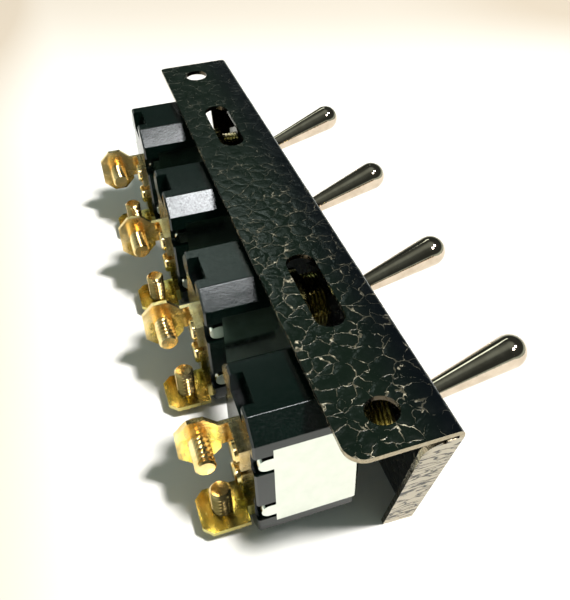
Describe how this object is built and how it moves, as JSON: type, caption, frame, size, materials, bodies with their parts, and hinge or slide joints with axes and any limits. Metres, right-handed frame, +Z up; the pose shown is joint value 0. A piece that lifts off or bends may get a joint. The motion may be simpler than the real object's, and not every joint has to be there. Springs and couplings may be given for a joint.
{
  "type": "toggle switch panel",
  "caption": "Toggle switches in a row on a folded sheet bracket with mounting holes and slots, bat levers in front and screw terminals behind.",
  "frame": {"origin": "on the top face of the flange, midway between its two round mounting holes", "axes": "+X towards the levers, +Y along the row of switches, +Z up out of the flange"},
  "size_m": [0.0627, 0.13, 0.0364],
  "materials": {
    "crackle_paint": "black crackle enamel with pale veins",
    "black_phenolic": "moulded black phenolic",
    "zinc_plate": "bright zinc plate",
    "brass_thread": "turned brass",
    "chrome": "polished chrome plate",
    "steel_pin": "ground steel",
    "spring_steel": "spring wire",
    "rocker_moulding": "brown moulding",
    "contact_brass": "stamped brass",
    "terminal_brass": "bright stamped brass",
    "nut_plate": "plated steel",
    "screw_brass": "bright turned brass"
  },
  "bodies": {
    "panel": {"bracket": "crackle_paint", "back_nuts": "nut_plate", "front_nuts": "nut_plate", "lock_washers": "nut_plate", "rocker_pins": "steel_pin", "cradle_rivets": "terminal_brass", "contact_rivets": "terminal_brass", "upper_screws": "screw_brass", "lower_screws": "screw_brass", "body_1": "black_phenolic", "body_2": "black_phenolic", "body_3": "black_phenolic", "body_4": "black_phenolic", "frame_1": "zinc_plate", "frame_2": "zinc_plate", "frame_3": "zinc_plate", "frame_4": "zinc_plate", "bushing_1": "brass_thread", "bushing_2": "brass_thread", "bushing_3": "brass_thread", "bushing_4": "brass_thread", "cradle_1": "contact_brass", "cradle_2": "contact_brass", "cradle_3": "contact_brass", "cradle_4": "contact_brass", "upper_terminal_1": "terminal_brass", "upper_terminal_2": "terminal_brass", "upper_terminal_3": "terminal_brass", "upper_terminal_4": "terminal_brass", "lower_terminal_1": "terminal_brass", "lower_terminal_2": "terminal_brass", "lower_terminal_3": "terminal_brass", "lower_terminal_4": "terminal_brass"},
    "lever_1": {"lever_1": "chrome", "lever_pin_1": "steel_pin", "spring_1": "spring_steel"},
    "rocker_1": {"rocker_1": "rocker_moulding", "contact_blade_1": "contact_brass"},
    "lever_2": {"lever_2": "chrome", "lever_pin_2": "steel_pin", "spring_2": "spring_steel"},
    "rocker_2": {"rocker_2": "rocker_moulding", "contact_blade_2": "contact_brass"},
    "lever_3": {"lever_3": "chrome", "lever_pin_3": "steel_pin", "spring_3": "spring_steel"},
    "rocker_3": {"rocker_3": "rocker_moulding", "contact_blade_3": "contact_brass"},
    "lever_4": {"lever_4": "chrome", "lever_pin_4": "steel_pin", "spring_4": "spring_steel"},
    "rocker_4": {"rocker_4": "rocker_moulding", "contact_blade_4": "contact_brass"}
  },
  "joints": [
    {"name": "lever_1_tilt", "type": "hinge", "parent": "panel", "child": "lever_1", "pos_m": [0.0142, -0.0453, -0.0175], "axis": [0, 1, 0], "range_deg": [0, 39], "deforming": ["spring_1"]},
    {"name": "rocker_1_tilt", "type": "hinge", "parent": "panel", "child": "rocker_1", "pos_m": [-0.00902, -0.0453, -0.0175], "axis": [0, 1, 0], "range_deg": [-15.01, 0.01]},
    {"name": "lever_2_tilt", "type": "hinge", "parent": "panel", "child": "lever_2", "pos_m": [0.0142, -0.0151, -0.0175], "axis": [0, 1, 0], "range_deg": [0, 39], "deforming": ["spring_2"]},
    {"name": "rocker_2_tilt", "type": "hinge", "parent": "panel", "child": "rocker_2", "pos_m": [-0.00902, -0.0151, -0.0175], "axis": [0, 1, 0], "range_deg": [-15.01, 0.01]},
    {"name": "lever_3_tilt", "type": "hinge", "parent": "panel", "child": "lever_3", "pos_m": [0.0142, 0.0151, -0.0175], "axis": [0, 1, 0], "range_deg": [0, 39], "deforming": ["spring_3"]},
    {"name": "rocker_3_tilt", "type": "hinge", "parent": "panel", "child": "rocker_3", "pos_m": [-0.00902, 0.0151, -0.0175], "axis": [0, 1, 0], "range_deg": [-15.01, 0.01]},
    {"name": "lever_4_tilt", "type": "hinge", "parent": "panel", "child": "lever_4", "pos_m": [0.0142, 0.0453, -0.0175], "axis": [0, 1, 0], "range_deg": [0, 39], "deforming": ["spring_4"]},
    {"name": "rocker_4_tilt", "type": "hinge", "parent": "panel", "child": "rocker_4", "pos_m": [-0.00902, 0.0453, -0.0175], "axis": [0, 1, 0], "range_deg": [-15.01, 0.01]}
  ],
  "couplings": [
    {"joint": "rocker_1_tilt", "follows": "lever_1_tilt", "ratio": -0.38461},
    {"joint": "rocker_2_tilt", "follows": "lever_2_tilt", "ratio": -0.38461},
    {"joint": "rocker_3_tilt", "follows": "lever_3_tilt", "ratio": -0.38461},
    {"joint": "rocker_4_tilt", "follows": "lever_4_tilt", "ratio": -0.38461}
  ]
}
